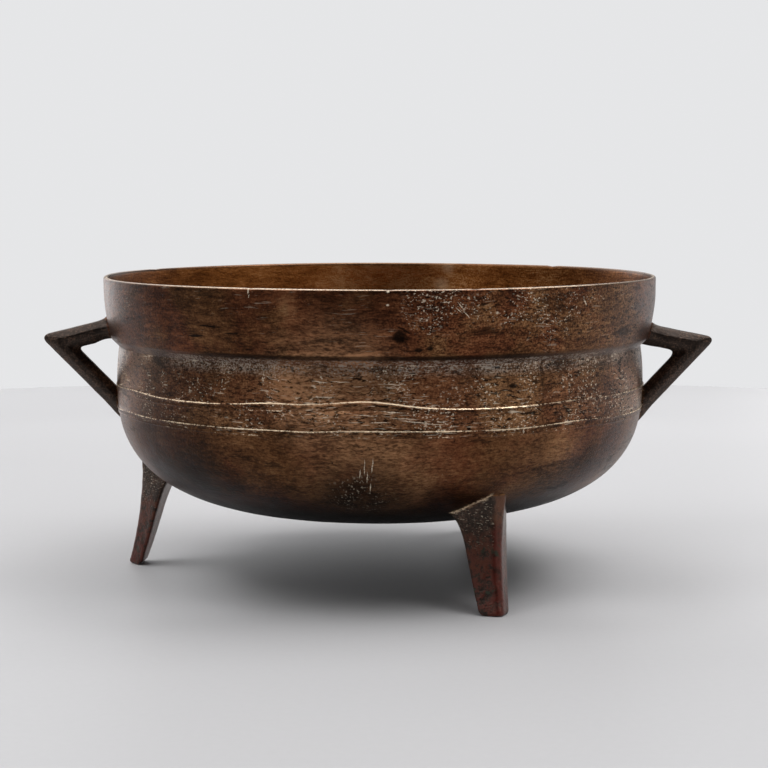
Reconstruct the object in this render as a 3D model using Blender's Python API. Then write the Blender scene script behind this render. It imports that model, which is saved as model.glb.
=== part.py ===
"""A cast bronze cooking pot on three ridged legs, with two angular handles.

The pot is one casting: the bowl, both handles and all three legs are poured together, so they are
one solid. Lengths are in metres. The origin is on the ground under the bowl's axis, +Z is up and
the front of the pot faces -Y. An azimuth is in degrees from the front, positive towards +X.
"""
import math

import bmesh
import bpy
from mathutils import Vector

# Bowl, from the lip down
RIM_RADIUS = 0.1350          # outside of the lip
BOWL_DEPTH = 0.1159          # lip to the outside of the base
GROUND_CLEARANCE = 0.0305    # under the base
NECK_DEPTH = 0.0297          # lip to the step
NECK_TAPER = 0.0036          # how much the neck narrows from the lip to the step
STEP_WIDTH = 0.0038          # the step goes in by this much, at 45 degrees
BAND_DEPTH = 0.0175          # foot of the step to the widest place of the belly
BELLY_SWELL = 0.0013         # the belly is this much wider than the foot of the step
SIDE_FULLNESS = 3.276        # power of the belly's curve across, 2 is an ellipse
BASE_FULLNESS = 2.573        # power of the belly's curve down

# Raised ribs round the belly
FIRST_RIB_DROP = 0.0180      # foot of the step to the upper rib
RIB_SPACING = 0.0105
RIB_RELIEF = 0.0010
RIB_WIDTH = 0.0040
RIB_RINGS = (-1.0, -0.5, 0.0, 0.5, 1.0)    # places across a rib, in half widths
RIB_MARGIN = 1.3                           # the bowl's own rings keep this many half widths away

# Walls
LIP_WALL = 0.0027
BODY_WALL = 0.0031
BASE_WALL = 0.0037
LIP_ROUNDING = 0.0006

# Legs: a blunt ridge faces outwards, the back is flat; each leg leans and twists a little differently
FRONT_LEG_AZIMUTH = 28.5
LEFT_LEG_AZIMUTH = -96.5
REAR_LEG_AZIMUTH = 150.0
FRONT_LEG_TWIST = -3.5       # azimuth of the foot less that of the root
LEFT_LEG_TWIST = 0.0
REAR_LEG_TWIST = 2.0
FRONT_LEG_INSET = 0.0156     # ridge at the root, in from the widest place of the belly
LEFT_LEG_INSET = 0.0087
REAR_LEG_INSET = 0.0112
FOOT_CIRCLE_RADIUS = 0.1279  # ridges at the ground
LEG_KICK_SHARPNESS = 1.9     # power of the ridge's outward curve
LEG_BEND_RISE = 0.0195       # the ridge is upright from this far above the base
LEG_FOOT_DEPTH = 0.0077      # ridge to back
LEG_ROOT_DEPTH = 0.0124      # at the bend height
LEG_FOOT_WIDTH = 0.0142
LEG_ROOT_WIDTH = 0.0266      # at the bend height
LEG_ROOT_FLARE = 0.0080      # extra depth where the leg runs into the bowl
LEG_FLARE_SPREAD = 0.5       # extra width there, as a share of the extra depth
LEG_FLARE_SHARPNESS = 5.0    # power with which the flare gathers near the bowl
FOOT_ROUNDING = 0.0017
LEG_SECTION = ((0.0, 0.17), (0.86, 1.0), (0.97, 0.96), (1.0, 0.80))    # shares of depth in, half width across

# Handles: an upper arm out from the neck and a lower arm back to the belly
HANDLE_AZIMUTH = 85.0
HANDLE_WIDTH = 0.0100
HANDLE_TIP_ROUNDING = 0.0042       # cut back along both arms from the sharp corner
HANDLE_CORNER_ROUNDING = 0.0014    # the same inside the bend
LEFT_HANDLE_PROJECTION = 0.0309    # the sharp corner of the tip, beyond the lip
LEFT_HANDLE_ROOT_DROP = 0.0210     # lip down to the top of the upper arm at the neck
LEFT_HANDLE_TIP_DROP = 0.0283
LEFT_HANDLE_FOOT_DROP = 0.0683     # lip down to the lowest place of the lower arm
LEFT_UPPER_ARM_DEPTH = 0.0102
LEFT_LOWER_ARM_DEPTH = 0.0092
RIGHT_HANDLE_PROJECTION = 0.0294
RIGHT_HANDLE_ROOT_DROP = 0.0240
RIGHT_HANDLE_TIP_DROP = 0.0299
RIGHT_HANDLE_FOOT_DROP = 0.0701
RIGHT_UPPER_ARM_DEPTH = 0.0101
RIGHT_LOWER_ARM_DEPTH = 0.0095
HANDLE_EMBEDDING = 0.0090          # each arm runs on into the wall by this much
HANDLE_TIP_FULLNESS = 0.4          # how far the rounded tip swells back towards its sharp corner
HANDLE_SECTION = ((1.0, 0.42), (0.30, 1.0), (-0.30, 1.0), (-1.0, 0.42))    # shares of half depth, half width

# Fineness of the faceted surface
BOWL_SIDES = 72
BELLY_STEPS = 15
BAND_STEPS = 3
NECK_STEPS = 4
LIP_STEPS = 2
LEG_STEPS = 6
FOOT_STEPS = (0.0, 0.4, 1.0)       # shares of the foot's rounding
SHARP_EDGE_ANGLE = 28.0            # steeper edges are shaded sharp

# Worked out from the sizes above
RIM_HEIGHT = GROUND_CLEARANCE + BOWL_DEPTH
NECK_FOOT_RADIUS = RIM_RADIUS - NECK_TAPER
NECK_FOOT_HEIGHT = RIM_HEIGHT - NECK_DEPTH
STEP_FOOT_RADIUS = NECK_FOOT_RADIUS - STEP_WIDTH
STEP_FOOT_HEIGHT = NECK_FOOT_HEIGHT - STEP_WIDTH
BELLY_RADIUS = STEP_FOOT_RADIUS + BELLY_SWELL
BELLY_HEIGHT = STEP_FOOT_HEIGHT - BAND_DEPTH
BELLY_DEPTH = BELLY_HEIGHT - GROUND_CLEARANCE
RIB_HEIGHTS = (STEP_FOOT_HEIGHT - FIRST_RIB_DROP, STEP_FOOT_HEIGHT - FIRST_RIB_DROP - RIB_SPACING)
LEG_BEND_HEIGHT = GROUND_CLEARANCE + LEG_BEND_RISE


def clear_scene():
    for scene_object in list(bpy.data.objects):
        bpy.data.objects.remove(scene_object, do_unlink=True)


def bronze_material():
    material = bpy.data.materials.new("cast_bronze")
    material.use_nodes = True
    shader = material.node_tree.nodes["Principled BSDF"]
    shader.inputs["Base Color"].default_value = (0.150, 0.085, 0.045, 1.0)
    shader.inputs["Metallic"].default_value = 0.85
    shader.inputs["Roughness"].default_value = 0.42
    return material


def outside_radius(height):
    """Outside radius of the bowl, without its ribs, at a height above the ground."""
    if height >= NECK_FOOT_HEIGHT:
        return RIM_RADIUS - NECK_TAPER * ((RIM_HEIGHT - height) / NECK_DEPTH) ** 2
    if height >= STEP_FOOT_HEIGHT:
        return STEP_FOOT_RADIUS + (height - STEP_FOOT_HEIGHT)
    if height >= BELLY_HEIGHT:
        return BELLY_RADIUS - BELLY_SWELL * ((height - BELLY_HEIGHT) / BAND_DEPTH) ** 2
    drop = min((BELLY_HEIGHT - height) / BELLY_DEPTH, 1.0)
    return BELLY_RADIUS * (1.0 - drop ** BASE_FULLNESS) ** (1.0 / SIDE_FULLNESS)


def outside_height(radius):
    """Height of the belly's outside at a radius, from the axis out to the widest place."""
    share = min(radius / BELLY_RADIUS, 1.0)
    return BELLY_HEIGHT - BELLY_DEPTH * (1.0 - share ** SIDE_FULLNESS) ** (1.0 / BASE_FULLNESS)


def smooth_heights():
    """Heights at which the side of the bowl is cut into rings, from the belly's curve to the lip."""
    neck_height = NECK_DEPTH - LIP_ROUNDING
    band = [BELLY_HEIGHT + BAND_DEPTH * step / BAND_STEPS for step in range(1, BAND_STEPS + 1)]
    neck = [NECK_FOOT_HEIGHT + neck_height * step / NECK_STEPS for step in range(NECK_STEPS + 1)]
    return band + neck


def outside_curve():
    """(radius, height) points of the bowl's outside without ribs, from the axis up to the lip."""
    points = []
    for step in range(BELLY_STEPS + 1):
        turn = 0.5 * math.pi * step / BELLY_STEPS
        radius = BELLY_RADIUS * math.sin(turn) ** (2.0 / SIDE_FULLNESS)
        points.append((radius, outside_height(radius)))
    points += [(outside_radius(height), height) for height in smooth_heights()]
    return points


def with_ribs(points):
    """The curve with rings for each rib in place of the rings that the rib covers."""
    half = 0.5 * RIB_WIDTH
    kept = [point for point in points if all(abs(point[1] - rib) > RIB_MARGIN * half for rib in RIB_HEIGHTS)]
    for rib in RIB_HEIGHTS:
        for share in RIB_RINGS:
            height = rib + share * half
            relief = RIB_RELIEF * 0.5 * (1.0 + math.cos(math.pi * share))
            kept.append((outside_radius(height) + relief, height))
    return sorted(kept, key=lambda point: (point[1], point[0]))


def wall_thickness(height):
    """Wall at a height: thickest in the base, thinnest at the lip."""
    if height > BELLY_HEIGHT:
        return BODY_WALL + (LIP_WALL - BODY_WALL) * (height - BELLY_HEIGHT) / (RIM_HEIGHT - BELLY_HEIGHT)
    return BODY_WALL + (BASE_WALL - BODY_WALL) * (BELLY_HEIGHT - height) / BELLY_DEPTH


def inside_curve():
    """The outside without ribs moved in by the wall, square to the surface, mitred at corners."""
    outside = [Vector(point) for point in outside_curve()]
    inside = []
    for index, point in enumerate(outside):
        before = outside[index] - outside[index - 1] if index else Vector((1.0, 0.0))
        after = outside[index + 1] - outside[index] if index + 1 < len(outside) else Vector((0.0, 1.0))
        inwards = [Vector((-run.y, run.x)).normalized() for run in (before, after)]
        middle = (inwards[0] + inwards[1]).normalized()
        inside.append(point + middle * wall_thickness(point.y) / middle.dot(inwards[0]))
    inside[0].x = 0.0
    inside[-1] = Vector((RIM_RADIUS - LIP_WALL, RIM_HEIGHT - LIP_ROUNDING))
    return [tuple(point) for point in inside]


def quarter_round(centre, start, end):
    """Points on the lip's rounded edge between two angles in degrees, ends left out at the start."""
    points = []
    for step in range(1, LIP_STEPS + 1):
        turn = math.radians(start + (end - start) * step / LIP_STEPS)
        points.append((centre[0] + LIP_ROUNDING * math.cos(turn), centre[1] + LIP_ROUNDING * math.sin(turn)))
    return points


def turned_solid(name, profile):
    """Closed solid turned round the Z axis from a profile that starts and ends on the axis."""
    shape = bmesh.new()
    points = [shape.verts.new((radius, 0.0, height)) for radius, height in profile]
    edges = [shape.edges.new(pair) for pair in zip(points, points[1:])]
    bmesh.ops.spin(
        shape, geom=points + edges, cent=(0, 0, 0), axis=(0, 0, 1),
        angle=2.0 * math.pi, steps=BOWL_SIDES, use_merge=True,
    )
    bmesh.ops.remove_doubles(shape, verts=shape.verts, dist=1e-6)
    bmesh.ops.recalc_face_normals(shape, faces=shape.faces)
    return mesh_object(name, shape)


def lofted_solid(name, rings):
    """Closed solid through rings of points, each ring with the same number of points."""
    shape = bmesh.new()
    rows = [[shape.verts.new(point) for point in ring] for ring in rings]
    for lower, upper in zip(rows, rows[1:]):
        for index in range(len(lower)):
            following = (index + 1) % len(lower)
            shape.faces.new((lower[index], lower[following], upper[following], upper[index]))
    shape.faces.new(rows[0])
    shape.faces.new(rows[-1])
    bmesh.ops.recalc_face_normals(shape, faces=shape.faces)
    return mesh_object(name, shape)


def mesh_object(name, shape):
    mesh = bpy.data.meshes.new(name)
    shape.to_mesh(mesh)
    shape.free()
    made = bpy.data.objects.new(name, mesh)
    bpy.context.scene.collection.objects.link(made)
    return made


def as_guide(guide):
    guide.hide_render = True
    guide.display_type = 'WIRE'
    return guide


def bowl_blank():
    """The bowl's outside, still full, up to its flat lip."""
    lip_centre = (RIM_RADIUS - LIP_ROUNDING, RIM_HEIGHT - LIP_ROUNDING)
    profile = with_ribs(outside_curve()) + quarter_round(lip_centre, 0.0, 90.0) + [(0.0, RIM_HEIGHT)]
    return turned_solid("cooking_pot", profile)


def bowl_hollow():
    """What the bowl's inside takes away, running on above the lip."""
    lip_centre = (RIM_RADIUS - LIP_WALL + LIP_ROUNDING, RIM_HEIGHT - LIP_ROUNDING)
    above = RIM_HEIGHT + NECK_DEPTH
    edge = quarter_round(lip_centre, 180.0, 90.0)
    profile = inside_curve() + edge + [(edge[-1][0], above), (0.0, above)]
    return as_guide(turned_solid("hollow", profile))


def placed(radius, across, height, azimuth):
    """A point given outwards from the axis and across, on the side of the pot at an azimuth."""
    turn = math.radians(azimuth)
    outwards = Vector((math.sin(turn), -math.cos(turn), 0.0))
    sideways = Vector((math.cos(turn), math.sin(turn), 0.0))
    return outwards * radius + sideways * across + Vector((0.0, 0.0, height))


def leg_ring(height, azimuth, twist, inset):
    """One level section of a leg: blunt ridge outside, full corners, flat back."""
    below_bend = max(LEG_BEND_HEIGHT - height, 0.0) / LEG_BEND_HEIGHT
    root = BELLY_RADIUS - inset
    ridge = root + (FOOT_CIRCLE_RADIUS - root) * below_bend ** LEG_KICK_SHARPNESS
    flare = LEG_ROOT_FLARE * min(height / LEG_BEND_HEIGHT, 1.0) ** LEG_FLARE_SHARPNESS
    width = LEG_ROOT_WIDTH + (LEG_FOOT_WIDTH - LEG_ROOT_WIDTH) * below_bend + LEG_FLARE_SPREAD * flare
    depth = LEG_ROOT_DEPTH + (LEG_FOOT_DEPTH - LEG_ROOT_DEPTH) * below_bend + flare
    trim = FOOT_ROUNDING * (1.0 - min(height / FOOT_ROUNDING, 1.0)) ** 2
    ridge -= trim
    depth -= 2.0 * trim
    half = 0.5 * width - trim
    right = [(ridge - depth * inwards, half * across) for inwards, across in LEG_SECTION]
    left = [(radius, -across) for radius, across in reversed(right)]
    return [placed(radius, across, height, azimuth + twist * below_bend) for radius, across in right + left]


def leg_stock(name, azimuth, twist, inset):
    """A leg from its flat foot up into the bowl's wall, where its ridge runs out."""
    top = outside_height(BELLY_RADIUS - inset) + 2.0 * BODY_WALL
    shaft_length = LEG_BEND_HEIGHT - FOOT_ROUNDING
    foot = [FOOT_ROUNDING * share for share in FOOT_STEPS]
    shaft = [FOOT_ROUNDING + shaft_length * step / LEG_STEPS for step in range(1, LEG_STEPS + 1)]
    rings = [leg_ring(height, azimuth, twist, inset) for height in foot + shaft + [top]]
    return as_guide(lofted_solid(name, rings))


def handle_ring(outer, inner, azimuth):
    """One section of a handle arm between its outer and inner edges, with broad chamfers."""
    middle = 0.5 * (outer + inner)
    reach = 0.5 * (outer - inner)
    half = 0.5 * HANDLE_WIDTH
    right = [(middle + reach * along, half * across) for along, across in HANDLE_SECTION]
    left = [(point, -across) for point, across in reversed(right)]
    return [placed(point.x, across, point.y, azimuth) for point, across in right + left]


def crossing(start, along, other_start, other_along):
    """Where two lines in the handle's plane cross."""
    turned = Vector((-other_along.y, other_along.x))
    return start + along * ((other_start - start).dot(turned) / along.dot(turned))


def swollen(blunt, sharp):
    """Middle of a rounded corner, between the middle of its blunt ends and the sharp corner."""
    middle = 0.5 * (blunt[0] + blunt[1])
    return middle + HANDLE_TIP_FULLNESS * (sharp - middle)


def handle_stock(name, azimuth, projection, root_drop, tip_drop, foot_drop, upper_depth, lower_depth):
    """A handle bent once at its tip, both ends running on into the wall."""
    root_height = RIM_HEIGHT - root_drop
    foot_height = RIM_HEIGHT - foot_drop
    root = Vector((outside_radius(root_height), root_height))
    tip = Vector((RIM_RADIUS + projection, RIM_HEIGHT - tip_drop))
    foot = Vector((outside_radius(foot_height), foot_height))
    out = (tip - root).normalized()
    back = (foot - tip).normalized()
    under_upper = Vector((out.y, -out.x)) * upper_depth
    inside_lower = Vector((back.y, -back.x)) * lower_depth
    corner = crossing(root + under_upper, out, foot + inside_lower, back)
    start = root - out * HANDLE_EMBEDDING
    end = foot + back * HANDLE_EMBEDDING
    blunt = (tip - out * HANDLE_TIP_ROUNDING, tip + back * HANDLE_TIP_ROUNDING)
    inner_blunt = (corner - out * HANDLE_CORNER_ROUNDING, corner + back * HANDLE_CORNER_ROUNDING)
    sections = (
        (start, start + under_upper),
        (blunt[0], inner_blunt[0]),
        (swollen(blunt, tip), swollen(inner_blunt, corner)),
        (blunt[1], inner_blunt[1]),
        (end, end + inside_lower),
    )
    return as_guide(lofted_solid(name, [handle_ring(outer, inner, azimuth) for outer, inner in sections]))


def join(blank, additions, cuts):
    """Casts the additions onto the blank, takes the cuts away and keeps the finished mesh."""
    for operation, guides in (('UNION', additions), ('DIFFERENCE', cuts)):
        for guide in guides:
            step = blank.modifiers.new(guide.name, 'BOOLEAN')
            step.operation = operation
            step.solver = 'EXACT'
            step.object = guide
    evaluated = blank.evaluated_get(bpy.context.evaluated_depsgraph_get())
    finished = bpy.data.meshes.new_from_object(evaluated)
    blank.modifiers.clear()
    blank.data = finished
    for guide in additions + cuts:
        bpy.data.objects.remove(guide, do_unlink=True)


def cooking_pot():
    legs = [
        leg_stock("front_leg", FRONT_LEG_AZIMUTH, FRONT_LEG_TWIST, FRONT_LEG_INSET),
        leg_stock("left_leg", LEFT_LEG_AZIMUTH, LEFT_LEG_TWIST, LEFT_LEG_INSET),
        leg_stock("rear_leg", REAR_LEG_AZIMUTH, REAR_LEG_TWIST, REAR_LEG_INSET),
    ]
    handles = [
        handle_stock(
            "left_handle", -HANDLE_AZIMUTH, LEFT_HANDLE_PROJECTION, LEFT_HANDLE_ROOT_DROP,
            LEFT_HANDLE_TIP_DROP, LEFT_HANDLE_FOOT_DROP, LEFT_UPPER_ARM_DEPTH, LEFT_LOWER_ARM_DEPTH,
        ),
        handle_stock(
            "right_handle", HANDLE_AZIMUTH, RIGHT_HANDLE_PROJECTION, RIGHT_HANDLE_ROOT_DROP,
            RIGHT_HANDLE_TIP_DROP, RIGHT_HANDLE_FOOT_DROP, RIGHT_UPPER_ARM_DEPTH, RIGHT_LOWER_ARM_DEPTH,
        ),
    ]
    pot = bowl_blank()
    join(pot, legs + handles, [bowl_hollow()])
    pot.data.materials.clear()
    pot.data.materials.append(bronze_material())
    pot.data.shade_smooth()
    pot.data.set_sharp_from_angle(angle=math.radians(SHARP_EDGE_ANGLE))
    return pot


clear_scene()
cooking_pot()
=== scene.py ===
# An old cast bronze cooking pot on three short legs, with two angular handles.
# Metres, +Z up, the front of the pot faces -Y. Azimuths are degrees from the front, positive towards +X.
import math

import bmesh
import bpy
import numpy as np
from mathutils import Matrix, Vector, noise


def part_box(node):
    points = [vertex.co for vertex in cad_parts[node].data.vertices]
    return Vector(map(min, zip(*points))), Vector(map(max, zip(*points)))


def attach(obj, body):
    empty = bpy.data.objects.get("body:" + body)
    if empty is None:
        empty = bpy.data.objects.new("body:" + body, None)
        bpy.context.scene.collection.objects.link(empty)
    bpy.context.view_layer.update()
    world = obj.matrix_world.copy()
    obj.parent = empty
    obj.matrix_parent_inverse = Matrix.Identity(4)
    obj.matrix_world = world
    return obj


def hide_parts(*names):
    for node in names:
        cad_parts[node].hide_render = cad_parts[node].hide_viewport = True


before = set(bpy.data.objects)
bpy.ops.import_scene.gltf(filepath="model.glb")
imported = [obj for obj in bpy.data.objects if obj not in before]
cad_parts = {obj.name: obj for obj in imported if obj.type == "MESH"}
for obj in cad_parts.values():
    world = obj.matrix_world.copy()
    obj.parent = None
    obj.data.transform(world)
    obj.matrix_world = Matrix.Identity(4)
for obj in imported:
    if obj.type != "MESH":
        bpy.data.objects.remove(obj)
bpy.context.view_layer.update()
lowCorner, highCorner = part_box("cooking_pot")
quarterTurn = 0.5 * math.pi


# Shapes shared by all the pieces

def outwards(azimuth):
    turn = np.radians(azimuth)
    return np.stack((np.sin(turn), -np.cos(turn), np.zeros_like(turn)), -1)


def sideways(azimuth):
    turn = np.radians(azimuth)
    return np.stack((np.cos(turn), np.sin(turn), np.zeros_like(turn)), -1)


def placed(radius, across, height, azimuth):
    azimuth = np.asarray(azimuth, float)
    up = np.array((0.0, 0.0, 1.0))
    return outwards(azimuth) * radius + sideways(azimuth) * across + up * height


def bell(distance, spread):
    return np.exp(-(distance / spread) ** 2)


def eased(value, low, high):
    share = np.clip((value - low) / (high - low), 0.0, 1.0)
    return share * share * (3.0 - 2.0 * share)


def unit(vector):
    return vector / np.linalg.norm(vector)


def roughness3d(points, size, seed):
    # smooth noise from -1 to 1 with lumps of about this size, the same each run
    shift = Vector((seed * 3.1, seed * 1.7, seed * 2.3))
    return np.array([noise.noise(Vector(point) / size + shift) for point in points])


def turnBetween(first, second):
    return (second - first + 180.0) % 360.0 - 180.0


def wallFaces(rows, count, first=0, closed=True):
    # four-sided faces between rows of this many corners each
    faces = []
    for start in range(first, first + (rows - 1) * count, count):
        for column in range(count if closed else count - 1):
            here, following = start + column, start + (column + 1) % count
            faces.append((here, following, following + count, here + count))
    return faces


def inScene(name, data):
    made = bpy.data.objects.new(name, data)
    bpy.context.scene.collection.objects.link(made)
    return made


def meshPiece(name, corners, faces):
    mesh = bpy.data.meshes.new(name)
    mesh.from_pydata([tuple(corner) for corner in corners], [], faces)
    mesh.update()
    return inScene(name, mesh)


def paint(mesh, name, values):
    layer = mesh.attributes.get(name) or mesh.attributes.new(name, "FLOAT", "POINT")
    layer.data.foreach_set("value", np.asarray(values, np.float32))


# Bowl

bowl = {
    "rimRadius": highCorner.y,      # the lip is the widest place towards the front and back
    "rimHeight": highCorner.z,
    "clearance": 0.0305,            # under the base
    "neckDepth": 0.0297,
    "neckTaper": 0.0036,
    "stepWidth": 0.0038,
    "bandDepth": 0.0175,
    "bellySwell": 0.0013,
    "sideFullness": 3.276,
    "baseFullness": 2.573,
    "lipWall": 0.0027,
    "lipDrop": 0.0011,              # depth of the lip's rounding outside
    "lipDropInside": 0.0019,
    "bodyWall": 0.0031,
    "baseWall": 0.0037,
    "cornerSoftness": 0.0004,       # how far the step's corners are worn round
    "frontSides": 204,              # the front is cut finer, for its nicks and ribs
    "frontSpan": 152.0,
    "backSides": 132,
    "unevenness": 0.00022,          # the casting is out of true by this much
    "wideLumps": 0.060,
    "smallLumps": 0.016,
}

# distances between the rows of the bowl's mesh, finer where there is more to see
rowGaps = {
    "lip": 0.00030, "rib": 0.00030, "besideRib": 0.00070, "step": 0.00050,
    "neck": 0.00125, "side": 0.0018, "base": 0.0042,
}

rimRadius, rimHeight = bowl["rimRadius"], bowl["rimHeight"]
neckFootRadius = rimRadius - bowl["neckTaper"]
neckFootHeight = rimHeight - bowl["neckDepth"]
stepFootRadius = neckFootRadius - bowl["stepWidth"]
stepFootHeight = neckFootHeight - bowl["stepWidth"]
bellyRadius = stepFootRadius + bowl["bellySwell"]
bellyHeight = stepFootHeight - bowl["bandDepth"]
bellyDepth = bellyHeight - bowl["clearance"]
fineStep = 0.0001      # the outline is worked out at points this far apart

ribs = {
    "heights": (stepFootHeight - 0.0180, stepFootHeight - 0.0285),
    "sag": (-0.0007, -0.00045),
    "crest": 0.00050,          # the sharp upper edge of each rib stands this proud
    "crestWidth": 0.00048,
    "plateau": 0.00020,        # the low band under it
    "bandWidth": 0.0027,
    "lowerEdge": 0.00018,      # the faint second line at the band's foot
    "lowerEdgeWidth": 0.00045,
    "lineWidth": 0.00036,      # of the rubbed line along the crest
    "reach": 0.0055,           # where a rib wanders, the wall's rows follow it within this distance
    # wanderings of the upper and the lower rib: azimuth, rise, spread in degrees
    "wander": (
        (
            (-3, 0.0033, 9), (-12, 0.0004, 4), (-21, 0.0018, 8), (-62, 0.0015, 10),
            (21, -0.0012, 15), (41, 0.0005, 7),
        ),
        ((44, 0.0011, 10), (-14, -0.0005, 5), (-66, 0.0008, 7)),
    ),
    # how strongly each rib's crest is rubbed, which also sets the painted shadow under it: azimuth, strength
    "rubbedAndPaintedLight": (
        (
            (-180, 0.8), (-60, 0.72), (-50, 0.7), (-43, 0.8), (-38, 0.92), (-34, 0.8), (-32, 0.52),
            (-30, 0.66), (-25, 1.06), (-20, 1), (-16, 0.88), (-12, 0.76), (-8, 0.93), (-2, 1.08), (5, 1.06),
            (10, 0.95), (16, 0.9), (22, 0.74), (27, 0.84), (33, 0.68), (44, 0.66), (60, 0.66),
            (75, 0.74), (180, 0.8),
        ),
        (
            (-180, 0.8), (-56, 0.64), (-48, 0.7), (-40, 0.84), (-33, 0.76), (-27, 0.96), (-20, 0.86),
            (-14, 0.93), (-8, 0.84), (2, 1.02), (12, 1.02), (17, 0.8), (20, 0.62), (24, 0.94), (28, 0.9),
            (32, 0.7), (41, 0.88), (47, 0.64), (60, 0.62), (75, 0.72), (180, 0.8),
        ),
    ),
}

# dents, pits and nicks: azimuth, height, width, depth
dents = (
    (3.9, 0.1260, 0.0028, 0.00085), (8.6, 0.1197, 0.0015, 0.00050), (-24.6, 0.1463, 0.0011, 0.00022),
    (1.9, 0.1463, 0.0011, 0.00025), (18.2, 0.1463, 0.0014, 0.00030), (-3.1, 0.1070, 0.0032, 0.00055),
    (28.3, 0.1037, 0.0045, 0.00040), (-44.0, 0.1300, 0.0060, 0.00035), (47.0, 0.0700, 0.0085, 0.00040),
    (-30.0, 0.0640, 0.0090, 0.00035), (12.0, 0.0560, 0.0060, 0.00030), (118.0, 0.1335, 0.0070, 0.00045),
    (171.0, 0.0760, 0.0100, 0.00050), (-142.0, 0.1010, 0.0060, 0.00040), (-118.0, 0.1461, 0.0018, 0.00050),
    (136.0, 0.1462, 0.0015, 0.00050),
)


def outsideRadius(height):
    # outside of the bowl without its ribs
    height = np.asarray(height, float)
    neck = rimRadius - bowl["neckTaper"] * ((rimHeight - height) / bowl["neckDepth"]) ** 2
    step = stepFootRadius + (height - stepFootHeight)
    band = bellyRadius - bowl["bellySwell"] * ((height - bellyHeight) / bowl["bandDepth"]) ** 2
    drop = np.clip((bellyHeight - height) / bellyDepth, 0.0, 1.0)
    belly = bellyRadius * (1.0 - drop ** bowl["baseFullness"]) ** (1.0 / bowl["sideFullness"])
    above = [height >= neckFootHeight, height >= stepFootHeight, height >= bellyHeight]
    return np.select(above, [neck, step, band], belly)


def outsideHeight(radius):
    share = np.clip(np.asarray(radius, float) / bellyRadius, 0.0, 1.0)
    return bellyHeight - bellyDepth * (1.0 - share ** bowl["sideFullness"]) ** (1.0 / bowl["baseFullness"])


def evenlySpaced(points, step):
    runs = np.linalg.norm(np.diff(points, axis=0), axis=1)
    along = np.concatenate(([0.0], np.cumsum(runs)))
    places = np.linspace(0.0, along[-1], max(int(along[-1] / step), 2))
    return np.stack([np.interp(places, along, points[:, axis]) for axis in range(2)], -1)


def outline():
    # radius and height, from the middle of the base up to the crest of the lip
    turns = np.linspace(0.0, quarterTurn, 1500)
    radii = bellyRadius * np.sin(turns) ** (2.0 / bowl["sideFullness"])
    belly = np.stack((radii, outsideHeight(radii)), -1)
    lipFoot = rimHeight - bowl["lipDrop"]
    heights = np.arange(bellyHeight + fineStep, lipFoot, fineStep)
    side = np.stack((outsideRadius(heights), heights), -1)
    turns = np.linspace(0.0, quarterTurn, 30)
    half = 0.5 * bowl["lipWall"]
    lip = np.stack((
        rimRadius - half + half * np.cos(turns) ** 0.85,
        lipFoot + bowl["lipDrop"] * np.sin(turns) ** 0.85,
    ), -1)
    even = evenlySpaced(np.concatenate((belly, side, lip)), fineStep)
    reach = int(bowl["cornerSoftness"] / fineStep)
    padded = np.pad(even, ((reach, reach), (0, 0)), mode="edge")
    weights = np.hanning(2 * reach + 3)[1:-1]
    weights /= weights.sum()
    soft = np.stack([np.convolve(padded[:, axis], weights, "valid") for axis in range(2)], -1)
    soft[:reach] = even[:reach]
    soft[-reach:] = even[-reach:]
    return soft


def rowGap(radius, height):
    # distance to the next row of the bowl's mesh
    if height > rimHeight - 0.0022:
        return rowGaps["lip"]
    for ribHeight in ribs["heights"]:
        if -0.0035 < height - ribHeight < 0.0009:
            return rowGaps["rib"]
        if -0.0060 < height - ribHeight < 0.0045:
            return rowGaps["besideRib"]
    if stepFootHeight - 0.0020 < height < neckFootHeight + 0.0020:
        return rowGaps["step"]
    if height > stepFootHeight:
        return rowGaps["neck"]
    return rowGaps["base"] if radius < 0.085 else rowGaps["side"]


def rowsOf(curve):
    chosen = [0]
    travelled = 0.0
    for index in range(1, len(curve)):
        travelled += fineStep
        if travelled >= rowGap(*curve[index]):
            chosen.append(index)
            travelled = 0.0
    chosen[-1] = len(curve) - 1
    return chosen


def columnAzimuths():
    half = 0.5 * bowl["frontSpan"]
    front = np.linspace(-half, half, bowl["frontSides"], endpoint=False)
    back = np.linspace(half, 360.0 - half, bowl["backSides"], endpoint=False)
    return np.concatenate((front, back))


def ribRise(azimuth, which):
    # how far a rib wanders up or down from its true height
    waver = 0.0003 * np.sin(np.radians(3.0 * azimuth + 40.0 + 70.0 * which))
    waver += 0.00022 * np.sin(np.radians(7.0 * azimuth - 25.0 + 130.0 * which))
    rise = ribs["sag"][which] + waver
    for middle, height, spread in ribs["wander"][which]:
        rise = rise + height * bell(turnBetween(middle, azimuth), spread)
    return rise


def ribRelief(above, strength):
    # above is the distance over the rib's crest line
    width = ribs["bandWidth"]
    crest = ribs["crest"] * bell(above, ribs["crestWidth"])
    plateau = ribs["plateau"] * eased(above, -width - 0.0004, -width) * eased(-above, -0.0002, 0.0003)
    lower = ribs["lowerEdge"] * bell(above + width, ribs["lowerEdgeWidth"])
    return strength * (crest + plateau + lower)


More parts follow.
